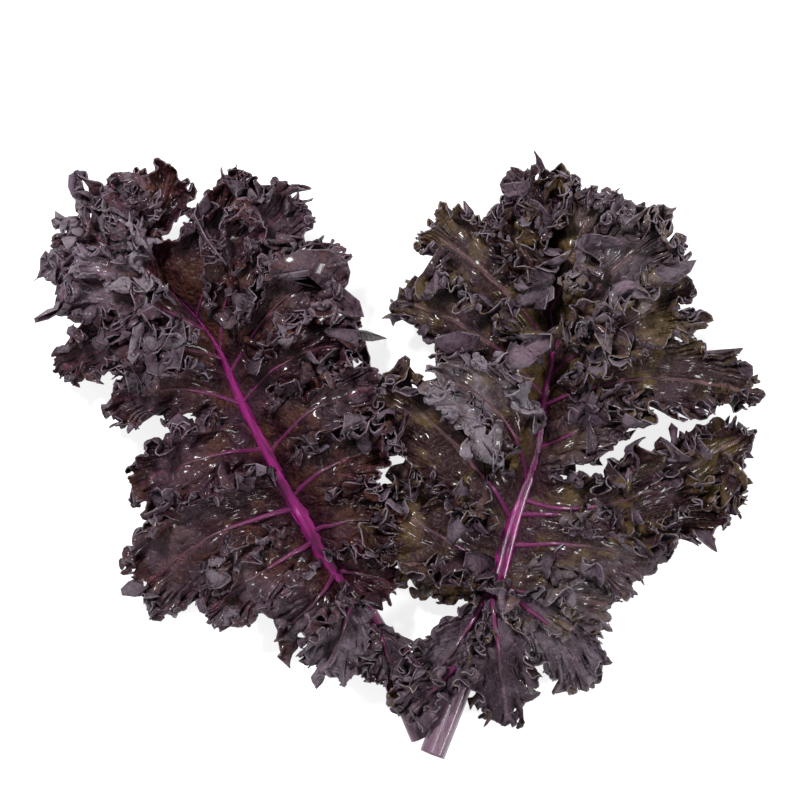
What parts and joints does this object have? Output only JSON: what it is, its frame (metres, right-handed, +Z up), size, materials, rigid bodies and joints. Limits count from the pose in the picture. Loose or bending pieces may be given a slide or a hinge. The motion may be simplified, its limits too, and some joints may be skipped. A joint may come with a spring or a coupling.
{
  "type": "purple kale bunch",
  "caption": "Cut bunch of curly purple kale lying flat: long leaves side by side with frilled lobes, thick purple midribs and stalks that cross at the cut ends.",
  "frame": {"origin": "on the surface that the bunch lies on, under the middle of the bunch's bounding box", "axes": "+Z up, away from that surface; +Y from the cut ends towards the leaf tips; +X to the right, from the left leaf to the right leaf, and along the bunch's longest extent"},
  "size_m": [0.3532, 0.2974, 0.0362],
  "materials": {
    "stem": "smooth, moist magenta-purple stalk",
    "blade": "waxy dark purple leaf with a greyer underside"
  },
  "bodies": {
    "root": {"left_leaf_stem": "stem", "left_leaf_blade": "blade", "left_leaf_outer_leaflet": "blade", "left_leaf_inner_leaflet": "blade", "right_leaf_stem": "stem", "right_leaf_blade": "blade", "right_leaf_inner_leaflet": "blade", "right_leaf_outer_leaflet": "blade", "right_leaf_lower_leaflet": "blade", "right_leaf_foot_leaflet": "blade"}
  },
  "joints": []
}
